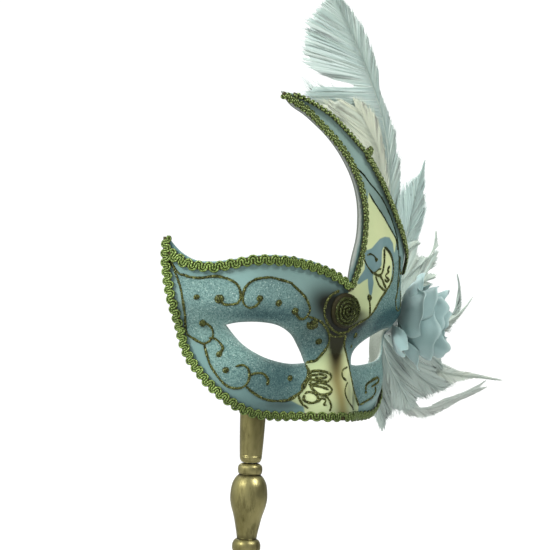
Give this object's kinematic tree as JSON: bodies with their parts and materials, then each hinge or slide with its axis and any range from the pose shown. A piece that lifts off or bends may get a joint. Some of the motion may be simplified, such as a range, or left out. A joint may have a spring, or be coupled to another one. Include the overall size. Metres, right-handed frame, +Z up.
{
  "type": "masquerade half mask on a stick",
  "caption": "Hand-held Venetian half mask: formed shell with a tall curved crest, gimp braid edging, glitter scrolls, spiral medallion, fabric flower, feathers and a turned push-on stick.",
  "frame": {"origin": "middle of the hand grip, on the stick's axis", "axes": "+Z up along the stick towards the mask, the mask faces -Y, +X towards the wearer's left, where the flower is"},
  "size_m": [0.2578, 0.089, 0.4923],
  "materials": {
    "shell": "satin blue paint over formed plastic, glitter-blue panels, cream and gold nose and crest",
    "gimp_braid": "metallic antique-gold thread",
    "medallion": "dark antique paste",
    "glitter_cord": "antique-gold glitter paste",
    "felt": "pressed felt",
    "petal_cloth": "soft pale blue cloth",
    "floral_tape": "wrapped tape",
    "feather": "pale blue and cream feather",
    "peg_block": "bare wood",
    "peg": "bare dowel",
    "gilt_stick": "antique-gold paint on turned wood"
  },
  "bodies": {
    "stick": {"stick_socket": "gilt_stick", "stick_shaft": "gilt_stick"},
    "mask": {"mask_shell": "shell", "braid_brow": "gimp_braid", "braid_left_edge": "gimp_braid", "braid_right_edge": "gimp_braid", "braid_crest_inner": "gimp_braid", "braid_crest_upper": "gimp_braid", "braid_crest_lower": "gimp_braid", "medallion_disc": "medallion", "medallion_spiral": "glitter_cord", "flower_pad": "felt", "petals_outer": "petal_cloth", "petals_middle": "petal_cloth", "petals_inner": "petal_cloth", "petals_core": "petal_cloth", "flower_bud": "petal_cloth", "feather_binding": "floral_tape", "plume_tall": "feather", "plume_short": "feather", "leaf_feather": "feather", "marabou_upper": "feather", "biot_upper": "feather", "biot_middle": "feather", "biot_lower": "feather", "biot_lowest": "feather", "marabou_lower": "feather", "peg_block": "peg_block", "stick_peg": "peg"}
  },
  "joints": [
    {"name": "stick_pull", "type": "slide", "parent": "stick", "child": "mask", "axis": [0, 0, 1], "range_m": [0, 0.016]}
  ]
}
